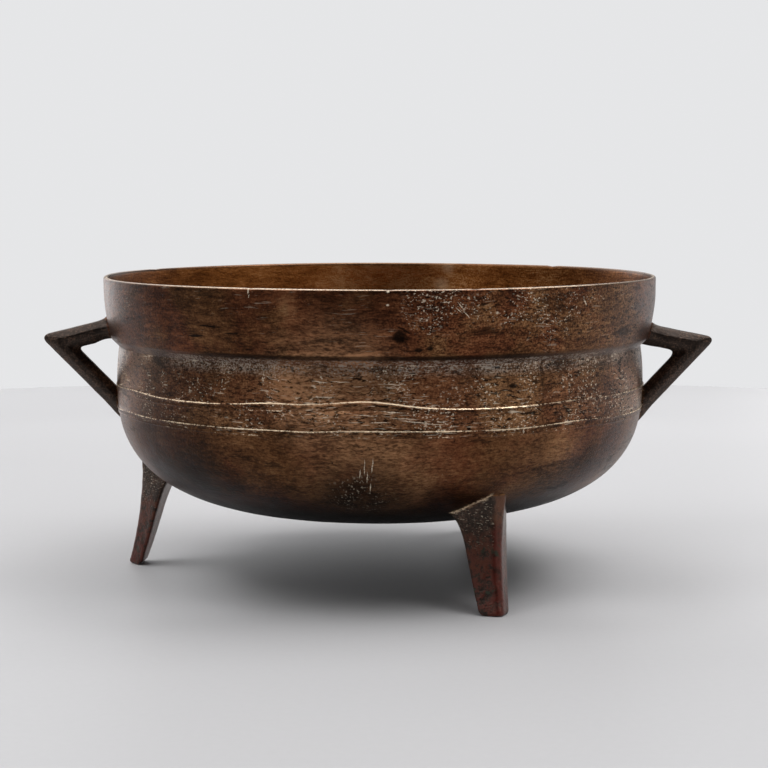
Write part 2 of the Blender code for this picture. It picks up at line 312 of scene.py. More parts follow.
def bowlRows():
    # positions of the outer skin, row by row from the base to the lip's crest
    curve = outline()
    slope = np.gradient(curve, axis=0)
    slope /= np.linalg.norm(slope, axis=1, keepdims=True)
    azimuths = columnAzimuths()
    rows, crests, paintedRibShadows = [], [], []
    for index in rowsOf(curve):
        radius, height = curve[index]
        normalOut, normalUp = slope[index][1], -slope[index][0]
        heights = np.full_like(azimuths, height)
        relief, crest, paintedRibShadow = (np.zeros_like(azimuths) for _ in range(3))
        for which, ribHeight in enumerate(ribs["heights"]):
            above = height - ribHeight
            near = eased(ribs["reach"] - abs(above), 0.0, ribs["reach"])
            heights += ribRise(azimuths, which) * near
            strength = 0.85 + 0.25 * np.sin(np.radians(5.0 * azimuths + 80.0 * which))
            strength += 0.35 * bell(turnBetween(-2.0, azimuths), 6.0) * (which == 0)
            relief += ribRelief(above, strength)
            rubbedAndPaintedLight = np.interp(turnBetween(0.0, azimuths), *zip(*ribs["rubbedAndPaintedLight"][which]))
            crest = np.maximum(crest, rubbedAndPaintedLight * bell(above - 0.0001, ribs["lineWidth"]))
            crest = np.maximum(crest, 0.52 * rubbedAndPaintedLight * bell(above + ribs["bandWidth"], ribs["lineWidth"]))
            # painted shadow: a dark line just under each rib's crest, as strong as the crest is rubbed
            paintedRibShadow = np.maximum(paintedRibShadow, rubbedAndPaintedLight * bell(above + 0.0011, 0.0006))
        shift = outsideRadius(heights) - outsideRadius(height) if height > 0.06 else 0.0
        radii = radius + shift + normalOut * relief
        heights = heights + normalUp * relief
        rows.append(placed(radii[:, None], 0.0, heights[:, None], azimuths))
        crests.append(crest)
        paintedRibShadows.append(paintedRibShadow)
    return azimuths, np.array(rows), np.array(crests), np.array(paintedRibShadows)


def unevenly(points, amount):
    # pushes points in or out by low lumps, and in where there is a dent; never out beyond the true lip
    flat = points.reshape(-1, 3).copy()
    spread = np.hypot(flat[:, 0], flat[:, 1])
    wide = roughness3d(flat, bowl["wideLumps"], 1.0) + 0.35 * roughness3d(flat, bowl["smallLumps"], 2.0)
    push = amount * wide
    lip = eased(flat[:, 2], rimHeight - 0.012, rimHeight - 0.003)
    push = push * (1.0 - lip) - lip * amount * (0.6 + 0.6 * wide)
    azimuth = np.degrees(np.arctan2(flat[:, 0], -flat[:, 1]))
    drop = np.zeros_like(push)
    for middle, height, width, depth in dents:
        across = np.radians(turnBetween(middle, azimuth)) * rimRadius
        away = np.hypot(across, flat[:, 2] - height)
        dent = depth * bell(away, width)
        onLip = height > rimHeight - 0.001
        drop += dent if onLip else 0.0
        push -= 0.3 * dent if onLip else dent
    # towards the base the skin faces down, so it is pushed mostly up and down there
    facingOut = eased(spread, 0.095, 0.125)
    flat[:, :2] *= (1.0 + push * facingOut / np.maximum(spread, 0.02))[:, None]
    flat[:, 2] -= push * (1.0 - facingOut) + drop
    flat[:, 2] -= lip * 0.00020 * (0.5 + 0.5 * np.sin(np.radians(5.0 * azimuth + 30.0)))
    return flat.reshape(points.shape)


def outerSkin():
    azimuths, rows, crests, paintedRibShadows = bowlRows()
    rows = unevenly(rows, bowl["unevenness"])
    middle = rows[0].mean(0)
    rows = rows[1:]
    count = len(azimuths)
    corners = [tuple(middle)] + [tuple(point) for point in rows.reshape(-1, 3)]
    faces = [(0, 1 + (column + 1) % count, 1 + column) for column in range(count)]
    faces += wallFaces(len(rows), count, 1)
    top = 1 + (len(rows) - 1) * count
    faces.append(tuple(range(top, top + count)))
    skin = meshPiece("castPot", corners, faces)
    paint(skin.data, "crest", np.concatenate(([0.0], crests[1:].ravel())))
    # the painted shadow under the ribs' crests
    paint(skin.data, "paintedRibShadow", np.concatenate(([0.0], paintedRibShadows[1:].ravel())))
    return skin


def insideRows():
    # the hollow, from the lip's crest down to the middle of the base
    turns = np.linspace(0.0, quarterTurn, 27)
    radii = bellyRadius * np.sin(turns) ** (2.0 / bowl["sideFullness"])
    points = [Vector(pair) for pair in zip(radii, outsideHeight(radii))]
    heights = [bellyHeight + bowl["bandDepth"] * share for share in (0.2, 0.4, 0.6, 0.8, 1.0)]
    heights += list(np.linspace(neckFootHeight, rimHeight - 0.0040, 10))
    points += [Vector((float(outsideRadius(height)), height)) for height in heights]
    inner = []
    for index, point in enumerate(points):
        before = point - points[index - 1] if index else Vector((1.0, 0.0))
        after = points[index + 1] - point if index + 1 < len(points) else Vector((0.0, 1.0))
        inwards = [Vector((-run.y, run.x)).normalized() for run in (before, after)]
        middle = (inwards[0] + inwards[1]).normalized()
        if point.y > bellyHeight:
            share = (point.y - bellyHeight) / (rimHeight - bellyHeight)
            wall = bowl["bodyWall"] + (bowl["lipWall"] - bowl["bodyWall"]) * share
        else:
            thickening = (bowl["baseWall"] - bowl["bodyWall"]) * (bellyHeight - point.y) / bellyDepth
            wall = bowl["bodyWall"] + thickening
        inner.append(point + middle * wall / middle.dot(inwards[0]))
    inner[0].x = 0.0
    half, drop = 0.5 * bowl["lipWall"], bowl["lipDropInside"]
    lip = []
    for share in (0.8, 0.6, 0.4, 0.2, 0.0):
        turn = quarterTurn * share
        lip.append(Vector((
            rimRadius - half - half * math.cos(turn) ** 0.8,
            rimHeight - drop + drop * math.sin(turn) ** 0.8,
        )))
    return lip + inner[::-1]


# Legs

legs = {
    # a leg flares to its left and right by the two spreads
    "frontLeg": {
        "azimuth": 28.9, "twist": -3.9, "inset": 0.0156,
        "rootWidth": 0.0268, "footWidth": 0.0152, "rootDepth": 0.0150,
        "flareLeft": 4.2, "flareRight": 0.3, "flareSharpness": 9.0,
    },
    "leftLeg": {
        "azimuth": -96.5, "twist": 0.0, "inset": 0.0087,
        "rootWidth": 0.0266, "footWidth": 0.0142, "rootDepth": 0.0124,
        "flareLeft": 0.5, "flareRight": 0.5, "flareSharpness": 5.0,
    },
    "rearLeg": {
        "azimuth": 150.0, "twist": 2.0, "inset": 0.0112,
        "rootWidth": 0.0266, "footWidth": 0.0142, "rootDepth": 0.0124,
        "flareLeft": 0.7, "flareRight": 0.7, "flareSharpness": 5.0,
    },
}

legShape = {
    "footCircle": 0.1279,      # the feet's ridges stand this far out
    "kick": 1.9,               # above 1 the leg curves outwards towards its foot
    "bendHeight": bowl["clearance"] + 0.0195,
    "footDepth": 0.0077,
    "flare": 0.0080,           # how much the root widens where it meets the bowl
    "footRounding": 0.0019,
    "section": ((0.0, 0.17), (0.86, 1.0), (0.97, 0.96), (1.0, 0.80)),    # shares of depth in, half width
    "sideSteps": (9, 1, 2, 8, 2, 1, 9, 3),
    "cornerCut": 0.0011,
    "rings": 62,
    "lumps": 0.00016,
    "seam": 0.00022,      # thickness of the raised casting line at the front leg's root
    "markWidth": 0.019,   # the leg's finish reaches this far to its sides
}


def roundedLoop(corners, cut, arcSteps, sideSteps):
    # a closed loop through these corners, each cut back and rounded, its sides divided evenly
    corners = np.asarray(corners, float)
    count = len(corners)
    loop = []
    for index in range(count):
        corner = corners[index]
        following = corners[(index + 1) % count]
        before, after, back = corners[index - 1] - corner, following - corner, corner - following
        start = corner + before * min(cut / np.linalg.norm(before), 0.45)
        end = corner + after * min(cut / np.linalg.norm(after), 0.45)
        nextStart = following + back * min(cut / np.linalg.norm(back), 0.45)
        for step in range(arcSteps + 1):
            share = step / arcSteps
            loop.append((1 - share) ** 2 * start + 2 * share * (1 - share) * corner + share ** 2 * end)
        steps = sideSteps[index % len(sideSteps)]
        loop += [end + (nextStart - end) * step / steps for step in range(1, steps)]
    return np.array(loop)


def legSizes(leg, height):
    # ridge radius, depth, half widths to the left and right, and azimuth of a leg at a height
    shape = legShape
    below = max(shape["bendHeight"] - height, 0.0) / shape["bendHeight"]
    root = bellyRadius - leg["inset"]
    ridge = root + (shape["footCircle"] - root) * below ** shape["kick"]
    rise = min(height / shape["bendHeight"], 1.0)
    flare = shape["flare"] * rise ** leg["flareSharpness"]
    width = leg["rootWidth"] + (leg["footWidth"] - leg["rootWidth"]) * below
    depth = leg["rootDepth"] + (shape["footDepth"] - leg["rootDepth"]) * below + shape["flare"] * rise ** 5.0
    lift = min(height / shape["footRounding"], 1.0)
    trim = shape["footRounding"] * (1.0 - math.sqrt(max(1.0 - (1.0 - lift) ** 2, 0.0)))
    halves = [0.5 * (width + leg[side] * flare) - trim for side in ("flareLeft", "flareRight")]
    return ridge - trim, depth - 2.0 * trim, *halves, leg["azimuth"] + leg["twist"] * below


def legRing(leg, height):
    ridge, depth, leftHalf, rightHalf, azimuth = legSizes(leg, height)
    section = legShape["section"]
    right = [(ridge - depth * inwards, rightHalf * across) for inwards, across in section]
    left = [(ridge - depth * inwards, -leftHalf * across) for inwards, across in reversed(section)]
    cut = min(legShape["cornerCut"], 0.2 * rightHalf)
    loop = roundedLoop(right + left, cut, 2, legShape["sideSteps"])
    return placed(loop[:, :1], loop[:, 1:], height, np.full(len(loop), azimuth))


def loft(rings, lumps, seed):
    # corners and faces of a closed solid through these rings, a little lumpy
    rings = np.asarray(rings)
    count = rings.shape[1]
    flat = rings.reshape(-1, 3).copy()
    centres = np.repeat(rings.mean(1), count, axis=0)
    away = flat - centres
    away /= np.maximum(np.linalg.norm(away, axis=1, keepdims=True), 1e-6)
    push = lumps * (roughness3d(flat, 0.006, seed) + 0.6 * roughness3d(flat, 0.0024, seed + 5.0) - 0.5)
    flat += away * push[:, None]
    faces = wallFaces(len(rings), count)
    faces.append(tuple(range(count))[::-1])
    faces.append(tuple(range((len(rings) - 1) * count, len(rings) * count)))
    return flat, faces


def jointLine(leg, steps):
    # where the left outer face of a leg meets the bowl, from the ridge to the leg's corner
    line = []
    first, last = legShape["section"][:2]
    for share in np.linspace(0.0, 1.0, steps):
        low, high = bowl["clearance"] + 0.0005, 0.064
        for _ in range(40):
            height = 0.5 * (low + high)
            ridge, depth, leftHalf, rightHalf, azimuth = legSizes(leg, height)
            radius = ridge - depth * (first[0] + (last[0] - first[0]) * share)
            across = -leftHalf * (first[1] + (last[1] - first[1]) * share)
            if math.hypot(radius, across) > outsideRadius(height):
                low = height
            else:
                high = height
        line.append(placed(radius, across, height, azimuth))
    return np.array(line)


def castingLine(line, thickness, seed):
    # a thin raised line along a joint, running out at both ends
    rings = []
    along = np.gradient(line, axis=0)
    turns = np.linspace(0.0, 2.0 * math.pi, 9)[:-1]
    for index, point in enumerate(line):
        forward = unit(along[index])
        out = np.array((point[0], point[1], -0.09))
        out -= forward * out.dot(forward)
        out /= np.linalg.norm(out)
        across = np.cross(forward, out)
        share = min(max(index / (len(line) - 1), 0.02), 0.98)
        thick = thickness * (0.35 + 0.65 * math.sin(math.pi * share) ** 0.4)
        rings.append([
            point + out * (0.00012 + thick * math.cos(turn)) + across * thick * 0.8 * math.sin(turn)
            for turn in turns
        ])
    return loft(rings, 0.00008, seed)


def legStock(name, seed):
    leg = legs[name]
    rounding = legShape["footRounding"]
    top = float(outsideHeight(bellyRadius - leg["inset"])) + 2.0 * bowl["bodyWall"]
    foot = [rounding * (1.0 - math.cos(turn)) for turn in np.linspace(0.0, quarterTurn, 7)]
    shaft = list(np.linspace(rounding, top, legShape["rings"])[1:])
    return loft([legRing(leg, height) for height in foot + shaft], legShape["lumps"], seed)


# Handles

handles = {
    # drops are heights under the rim, and the arch bows the upper arm's underside
    "leftHandle": {
        "azimuth": -85.0, "projection": 0.0310, "rootDrop": 0.0210, "tipDrop": 0.0289, "footDrop": 0.0689,
        "upperDepth": 0.0101, "lowerDepth": 0.0092, "innerRounding": 0.0030,
        "rootFlare": 0.0012, "arch": 0.0009,
    },
    "rightHandle": {
        "azimuth": 85.0, "projection": 0.0294, "rootDrop": 0.0240, "tipDrop": 0.0302, "footDrop": 0.0707,
        "upperDepth": 0.0101, "lowerDepth": 0.0095, "innerRounding": 0.0048,
        "rootFlare": 0.0014, "arch": -0.0003,
    },
}

handleShape = {
    "width": 0.0100,
    "tipRounding": 0.0046,
    "tipFullness": 0.90,
    "embedding": 0.0090,
    "section": ((1.0, 0.42), (0.30, 1.0), (-0.30, 1.0), (-1.0, 0.42)),    # shares of half depth, half width
    "sideSteps": (3, 3, 3, 4),
    "cornerCut": 0.0006,
    "armRings": 26,
    "tipRings": 9,
    "lumps": 0.00013,
    "markWidth": 0.0085,
}


def crossing(start, along, otherStart, otherAlong):
    turned = np.array((-otherAlong[1], otherAlong[0]))
    return start + along * ((otherStart - start).dot(turned) / along.dot(turned))


def bend(start, sharp, end, fullness, share):
    # a rounded corner between two ends, swelling towards the sharp corner
    control = 0.5 * (start + end) + fullness * (sharp - 0.5 * (start + end))
    return (1 - share) ** 2 * start + 2 * share * (1 - share) * control + share ** 2 * end


def handleRing(outer, inner, azimuth, swell):
    middle = 0.5 * (outer + inner)
    reach = 0.5 * (outer - inner) * (1.0 + swell)
    half = 0.5 * handleShape["width"] * (1.0 + swell)
    right = list(handleShape["section"])
    left = [(along, -across) for along, across in reversed(right)]
    scaled = [(along * np.linalg.norm(reach), across * half) for along, across in right + left]
    loop = roundedLoop(scaled, handleShape["cornerCut"], 2, handleShape["sideSteps"])
    direction = unit(reach)
    radius = middle[0] + loop[:, 0] * direction[0]
    height = middle[1] + loop[:, 0] * direction[1]
    return placed(radius[:, None], loop[:, 1:], height[:, None], np.full(len(loop), azimuth))


def handleStock(name, seed):
    # rings along the upper arm, round the tip and down the lower arm, both ends sunk in the wall
    handle = handles[name]
    embedding, fullness = handleShape["embedding"], handleShape["tipFullness"]
    rootHeight = rimHeight - handle["rootDrop"]
    footHeight = rimHeight - handle["footDrop"]
    root = np.array((float(outsideRadius(rootHeight)), rootHeight))
    tip = np.array((rimRadius + handle["projection"], rimHeight - handle["tipDrop"]))
    foot = np.array((float(outsideRadius(footHeight)), footHeight))
    out, back = unit(tip - root), unit(foot - tip)
    underUpper = np.array((out[1], -out[0])) * handle["upperDepth"]
    insideLower = np.array((back[1], -back[0])) * handle["lowerDepth"]
    corner = crossing(root + underUpper, out, foot + insideLower, back)
    start, end = root - out * embedding, foot + back * embedding
    blunt, innerBlunt = (
        (sharp - out * cut, sharp + back * cut)
        for sharp, cut in ((tip, handleShape["tipRounding"]), (corner, handle["innerRounding"]))
    )
    rings = []
    upperLength = np.linalg.norm(blunt[0] - start)
    for share in np.linspace(0.0, 1.0, handleShape["armRings"], endpoint=False):
        outer = start + (blunt[0] - start) * share
        inner = start + underUpper + (innerBlunt[0] - start - underUpper) * share
        fromWall = share * upperLength - embedding
        beyond = max(fromWall, 0.0)
        flare = handle["rootFlare"] * math.exp(-beyond / 0.0020)
        arch = handle["arch"] * math.sin(math.pi * min(max(fromWall / 0.020, 0.0), 1.0))
        inner = inner - unit(underUpper) * (arch - 1.3 * handle["arch"] * math.exp(-beyond / 0.006))
        rings.append(handleRing(outer, inner, handle["azimuth"], flare / 0.005))
    for share in np.linspace(0.0, 1.0, handleShape["tipRings"], endpoint=False):
        outer = bend(blunt[0], tip, blunt[1], fullness, share)
        inner = bend(innerBlunt[0], corner, innerBlunt[1], fullness, share)
        rings.append(handleRing(outer, inner, handle["azimuth"], 0.0))
    lowerLength = np.linalg.norm(end - blunt[1])
    for share in np.linspace(0.0, 1.0, handleShape["armRings"] + 4):
        outer = blunt[1] + (end - blunt[1]) * share
        inner = innerBlunt[1] + (end + insideLower - innerBlunt[1]) * share
        fromWall = (1.0 - share) * lowerLength - embedding
        flare = 0.4 * handle["rootFlare"] * math.exp(-max(fromWall - 0.004, 0.0) / 0.0025)
        rings.append(handleRing(outer, inner, handle["azimuth"], flare / 0.005))
    return loft(rings, handleShape["lumps"], seed)


# Casting it together

def joinStock(name, stocks):
    corners, faces = [], []
    for points, sides in stocks:
        start = len(corners)
        corners += [tuple(point) for point in points]
        faces += [tuple(start + index for index in side) for side in sides]
    return meshPiece(name, corners, faces)


def castOn(body, addition):
    step = body.modifiers.new("castOn", "BOOLEAN")
    step.operation = "UNION"
    step.solver = "EXACT"
    step.object = addition
    evaluated = body.evaluated_get(bpy.context.evaluated_depsgraph_get())
    finished = bpy.data.meshes.new_from_object(evaluated)
    body.modifiers.clear()
    used = body.data
    body.data = finished
    bpy.data.meshes.remove(used)
    bpy.data.objects.remove(addition, do_unlink=True)


def hollowOut(body):
    # the flat cap over the mouth gives way to the inner skin
    shape = bmesh.new()
    shape.from_mesh(body.data)
    inside = shape.verts.layers.float.new("inside")
    cap = max(shape.faces, key=lambda face: len(face.verts))
    rim = sorted(cap.verts, key=lambda corner: math.atan2(corner.co.y, corner.co.x))
    bmesh.ops.delete(shape, geom=[cap], context="FACES_ONLY")
    above = rim
    profile = insideRows()
    angles = [math.atan2(corner.co.y, corner.co.x) for corner in rim]
    sag = np.array([corner.co.z - rimHeight for corner in rim])
    lipReach = 0.010      # the lip's sag fades out this far down
    for radius, height in profile[:-1]:
        points = np.array([(radius * math.cos(turn), radius * math.sin(turn), height) for turn in angles])
        if height > rimHeight - lipReach:
            points[:, 2] += sag * ((height - rimHeight + lipReach) / lipReach)
        else:
            push = bowl["unevenness"] * roughness3d(points, 0.045, 4.0)
            points[:, :2] *= (1.0 + push / max(radius, 0.03))[:, None]
        row = [shape.verts.new(point) for point in points]
        for corner in row:
            corner[inside] = 1.0
        for index in range(len(row)):
            following = (index + 1) % len(row)
            shape.faces.new((above[index], above[following], row[following], row[index]))
        above = row
    middle = shape.verts.new((0.0, 0.0, profile[-1][1]))
    middle[inside] = 1.0
    for index in range(len(above)):
        shape.faces.new((above[index], above[(index + 1) % len(above)], middle))
    bmesh.ops.recalc_face_normals(shape, faces=shape.faces)
    shape.to_mesh(body.data)
    shape.free()


def positionsOf(mesh):
    values = np.empty(len(mesh.vertices) * 3, np.float32)
    mesh.vertices.foreach_get("co", values)
    return values.reshape(-1, 3).astype(float)


def keepWithinBox(mesh):
    points = np.clip(positionsOf(mesh), np.array(lowCorner), np.array(highCorner))
    mesh.vertices.foreach_set("co", points.ravel().astype(np.float32))
    mesh.update()


def besideLimb(points, shape, width):
    # 1 for points in line with a leg or handle, within this distance to its sides
    across = (points * sideways(shape["azimuth"])).sum(1)
    out = (points * outwards(shape["azimuth"])).sum(1)
    return eased(np.abs(across), width + 0.004, width) * (out > 0.0)


def markWear(mesh, seamLines):
    # what the finish goes by: how far each place is worn, sooted or reddened, and where the lip and the
    # raised line carry a painted highlight
    points = positionsOf(mesh)
    radius = np.hypot(points[:, 0], points[:, 1])
    height = points[:, 2]
    inside = np.array([value.value for value in mesh.attributes["inside"].data])
    sideAway = radius - outsideRadius(np.maximum(height, 0.05))
    underAway = outsideHeight(radius) - height
    limb, ridge, seam = (np.zeros(len(points)) for _ in range(3))
    legTop = 0.062      # the legs are below this height and the handles above it
    for handle in handles.values():
        near = besideLimb(points, handle, handleShape["markWidth"])
        limb = np.maximum(limb, near * (height > legTop) * eased(sideAway, 0.0003, 0.0009))
    for leg in legs.values():
        near = besideLimb(points, leg, legShape["markWidth"])
        limb = np.maximum(limb, near * (height < legTop) * eased(underAway, 0.0003, 0.0009))
        along = [legSizes(leg, min(level, legShape["bendHeight"])) for level in height * (near > 0.0)]
        crest, turn = np.array([sizes[0] for sizes in along]), np.radians([sizes[4] for sizes in along])
        besides = points[:, 0] * np.cos(turn) + points[:, 1] * np.sin(turn)
        before = points[:, 0] * np.sin(turn) - points[:, 1] * np.cos(turn)
        tip = eased(np.abs(besides), 0.0036, 0.0020) * eased(crest - before, 0.0030, 0.0010)
        ridge = np.maximum(ridge, near * (tip * (height < 0.060)))
    limb *= 1.0 - inside
    # the lip's crest is painted pale: worn bronze and, stronger towards the front, a painted highlight
    lip = eased(height, rimHeight - 0.0006, rimHeight - 0.0002) * (1.0 - 0.3 * inside)
    lip *= 0.25 + 0.75 * eased(points[:, 1], 0.030, -0.030)
    # along the raised line at the front leg's root the colour is painted pale: rubbed bronze and a painted
    # highlight on its top
    for line in seamLines:
        for start, end in zip(line, line[1:]):
            for share in (0.0, 0.5):
                away = np.linalg.norm(points - (start + (end - start) * share), axis=1)
                seam = np.maximum(seam, 1.0 - eased(away, 0.00030, 0.00075))
    marks = {"seam": seam, "limb": limb, "ridge": ridge, "lip": lip, "level": height / rimHeight}
    for name, values in marks.items():
        paint(mesh, name, values)


print("making the pot's outer skin")
pot = outerSkin()
stocks = [legStock(name, 11.0 + 4.0 * index) for index, name in enumerate(legs)]
stocks += [handleStock(name, 31.0 + 4.0 * index) for index, name in enumerate(handles)]
castOn(pot, joinStock("limbs", stocks))
raisedLines = [jointLine(legs["frontLeg"], 18)]
castOn(pot, joinStock("raisedLines", [castingLine(line, legShape["seam"], 51.0) for line in raisedLines]))
print("the legs and handles are cast on")
hollowOut(pot)
keepWithinBox(pot.data)
markWear(pot.data, raisedLines)
pot.data.shade_smooth()
pot.data.set_sharp_from_angle(angle=math.radians(34.0))
print("the pot is hollow:", len(pot.data.polygons), "faces")


# Finish: a place on the wall is an azimuth and a height, and heights and widths here are in millimetres

def onWall(azimuth, millimetres):
    height = 0.001 * millimetres
    return placed(float(outsideRadius(height)), 0.0, height, azimuth)


class Recipe:
    # lays out a material's nodes; a value is a number, a colour's name in patina or another node's output
    def __init__(self, name):
        self.material = bpy.data.materials.new(name)
        self.material.use_nodes = True
        self.tree = self.material.node_tree
        self.shader = self.tree.nodes["Principled BSDF"]
        self.where = self.node("ShaderNodeTexCoord").outputs["Object"]

    def fill(self, made, given):
        for name, value in given.items():
            if isinstance(value, bpy.types.NodeSocket):
                self.tree.links.new(value, made.inputs[name])
            else:
                made.inputs[name].default_value = (*patina[value], 1.0) if isinstance(value, str) else value

    def node(self, kind, given=None, **settings):
        made = self.tree.nodes.new(kind)
        for name, value in settings.items():
            setattr(made, name, value)
        self.fill(made, given or {})
        return made

    def maths(self, operation, *values, clamp=False):
        made = self.node("ShaderNodeMath", dict(enumerate(values)), operation=operation, use_clamp=clamp)
        return made.outputs[0]

    def chained(self, operation, total, *values):
        for value in values:
            total = self.maths(operation, total, value)
        return total

    def times(self, *values):
        return self.chained("MULTIPLY", *values)

    def plus(self, *values):
        return self.chained("ADD", *values)

    def most(self, *values):
        return self.chained("MAXIMUM", *values)

    def less(self, value):
        return self.maths("SUBTRACT", 1.0, value)

    def spread(self, value, low, high, toLow=0.0, toHigh=1.0):
        # eases from toLow to toHigh while the value goes from low to high
        given = {"Value": value, "From Min": low, "From Max": high, "To Min": toLow, "To Max": toHigh}
        return self.node("ShaderNodeMapRange", given, interpolation_type="SMOOTHSTEP").outputs["Result"]

    def part(self, where, axis):
        return self.node("ShaderNodeSeparateXYZ", {0: where}).outputs[axis]

    def vector(self, operation, *values):
        made = self.node("ShaderNodeVectorMath", dict(enumerate(values)), operation=operation)
        return made.outputs["Vector"]

    def moved(self, x, y, z):
        return self.vector("ADD", self.where, (x, y, z))

    def clouds(self, where, scale, detail=3.0, roughness=0.55, distortion=0.0):
        given = {"Vector": where, "Scale": scale, "Detail": detail, "Roughness": roughness}
        return self.node("ShaderNodeTexNoise", {**given, "Distortion": distortion}).outputs[0]

    def crooked(self, scale, amount):
        # places pushed about by small noise
        drift = self.node("ShaderNodeTexNoise", {"Vector": self.where, "Scale": scale, "Detail": 1.0})
        back = -0.5 * amount
        centred = self.moved(back, back, back)
        return self.vector("MULTIPLY_ADD", drift.outputs["Color"], (amount, amount, amount), centred)

    def specks(self, where, scale, share, smallest, largest):
        # uneven specks in this share of the cells, their size in shares of a cell, some fainter than others
        cells = self.node("ShaderNodeTexVoronoi", {"Vector": where, "Scale": scale})
        chance, size, strength = self.node("ShaderNodeSeparateColor", {0: cells.outputs["Color"]}).outputs
        reach = self.maths("MULTIPLY_ADD", self.times(size, size), largest - smallest, smallest)
        dot = self.spread(self.maths("SUBTRACT", cells.outputs["Distance"], reach), 0.05, -0.03)
        there = self.maths("GREATER_THAN", chance, 1.0 - share)
        return self.times(dot, there, self.plus(0.25, self.times(strength, 0.75)))

    def scratch(self, where, azimuth, height, half, thin, tilt):
        # 1 along one short mark on the wall, of this half length and half width
        made = self.node("ShaderNodeMapping", {
            "Vector": where,
            "Location": onWall(azimuth, height),
            "Rotation": (0.0, -math.radians(tilt), math.radians(azimuth)),
            "Scale": (0.001 * half, 0.01, 0.001 * thin),
        }, vector_type="TEXTURE")
        size = self.node("ShaderNodeVectorMath", {0: made.outputs["Vector"]}, operation="LENGTH")
        return self.spread(size.outputs["Value"], 1.3, 0.6)

    def spot(self, azimuth, height, reach, soft):
        # 1 within this distance of a place on the wall, fading over the soft part
        given = {0: self.where, 1: onWall(azimuth, height)}
        away = self.node("ShaderNodeVectorMath", given, operation="DISTANCE")
        return self.spread(away.outputs["Value"], 0.001 * (reach + soft), 0.001 * reach)

    def mark(self, name):
        return self.node("ShaderNodeAttribute", attribute_name=name).outputs["Fac"]

    def blend(self, amount, under, over):
        return self.node("ShaderNodeMix", {0: amount, 6: under, 7: over}, data_type="RGBA").outputs[2]

    def toned(self, value, name):
        # one of the patina's rows of colours, from its darkest to its palest
        made = self.node("ShaderNodeValToRGB", {0: value})
        strip = made.color_ramp.elements
        while len(strip) < len(patina["toneStops"]):
            strip.new(0.5)
        for place, position, colour in zip(strip, patina["toneStops"], patina[name]):
            place.position = position
            place.color = (*colour, 1.0)
        return made.outputs["Color"]


patina = {
    # the bronze itself, from its darkest to its palest, once reddish and once golden
    "red": (
        (0.017, 0.0070, 0.0042), (0.044, 0.0155, 0.0080), (0.084, 0.0285, 0.0130),
        (0.138, 0.049, 0.0215), (0.24, 0.100, 0.046),
    ),
    "golden": (
        (0.019, 0.0092, 0.0050), (0.048, 0.0208, 0.0094), (0.092, 0.0395, 0.0168),
        (0.152, 0.070, 0.0300), (0.26, 0.136, 0.062),
    ),
    "inside": (
        (0.080, 0.0265, 0.0065), (0.160, 0.054, 0.013), (0.240, 0.085, 0.022),
        (0.340, 0.138, 0.042), (0.48, 0.245, 0.105),
    ),
    "limb": (
        (0.0035, 0.0028, 0.0025), (0.008, 0.0056, 0.0044), (0.017, 0.0108, 0.0080),
        (0.034, 0.0205, 0.0145), (0.075, 0.044, 0.030),
    ),
    "toneStops": (0.385, 0.445, 0.50, 0.555, 0.635),
    "gold": (0.62, 0.335, 0.172),
    "cuprite": (0.078, 0.0120, 0.0080),
    "rust": (0.085, 0.0220, 0.0100),
    # near black, for soot and pits, and for the painted shade in the step's corner and under the ribs
    "sootAndPaintedShade": (0.0044, 0.0033, 0.0027),
    # grey haze under the step, also used for the painted sheen on the legs' right faces
    "hazeAndPaintedSheen": (0.34, 0.285, 0.235),
    "cream": (0.84, 0.71, 0.54),
    # rubbed bronze, also used for the painted highlights in the hollow
    "rubbedAndPaintedLight": (0.90, 0.70, 0.48),
    # the lip's pale line, worn bronze and a painted highlight
    "lip": (0.62, 0.48, 0.35),
    "lipInside": (0.075, 0.044, 0.030),
    "ridge": (0.105, 0.040, 0.020),
    "gleam": (1.0, 0.76, 0.64),
    "plain": (1.0, 1.0, 1.0),
    "green": (0.012, 0.034, 0.022),
    "roughness": 0.36,
    # how far the wear covers what is under it
    "goldCover": 0.78,
    "limeCover": 0.88,
    "pitCover": 0.88,
    "greenCover": 0.8,
    "toneStep": 0.053,      # how much a mood of 1 lightens
    "hueStep": -0.10,       # and how much it reddens
}

# single marks that stand out: azimuth, height, half length, half width, tilt in degrees
limeMarks = (
    (-24.9, 145.2, 1.3, 0.34, 86), (-24.7, 143, 0.8, 0.20, 78), (1.6, 145.5, 0.9, 0.50, 15),
    (1.5, 139.8, 0.7, 0.42, 0), (15.2, 138.8, 2.6, 0.20, -52), (16.3, 135.2, 2.3, 0.18, -47),
    (14.8, 137.2, 1.5, 0.16, -33), (42.8, 138.8, 1.6, 0.34, -60),
    (-3, 68.2, 3.4, 0.20, 87), (-1.4, 69, 3.2, 0.22, 83), (-2.5, 63.4, 2.6, 0.18, 88),
    (-3.9, 65, 2.2, 0.18, 85), (-1.9, 58.5, 2.0, 0.20, 86),
    (4.8, 90, 5.8, 0.18, -3), (7, 88.5, 6.6, 0.20, -6), (0.2, 88.4, 4.2, 0.18, 1),
    (-2.6, 91.5, 5.0, 0.15, -4), (2.4, 93, 4.5, 0.16, -5), (10.4, 87.4, 5.0, 0.15, -3),
    (-7.5, 106, 4.0, 0.14, -3), (-11.5, 105.9, 3.5, 0.16, -4), (3.4, 104.6, 3.0, 0.15, 14),
)
sootMarks = (
    (3.8, 126, 3, 3, 0), (4.4, 129.2, 3, 0.5, -28), (7.4, 120.1, 2, 1, 0), (9.6, 120.8, 1.4, 1.2, 8),
    (6.6, 119.3, 3, 0.22, -4), (27.2, 102.9, 2.4, 1.1, 0), (-3.9, 107.4, 1.7, 0.6, -12),
    (31, 90.5, 5, 0.6, 3), (-34, 129, 6, 0.4, -2), (-37.5, 124.5, 5, 0.55, 3), (-29, 126.2, 4, 0.35, 0),
)
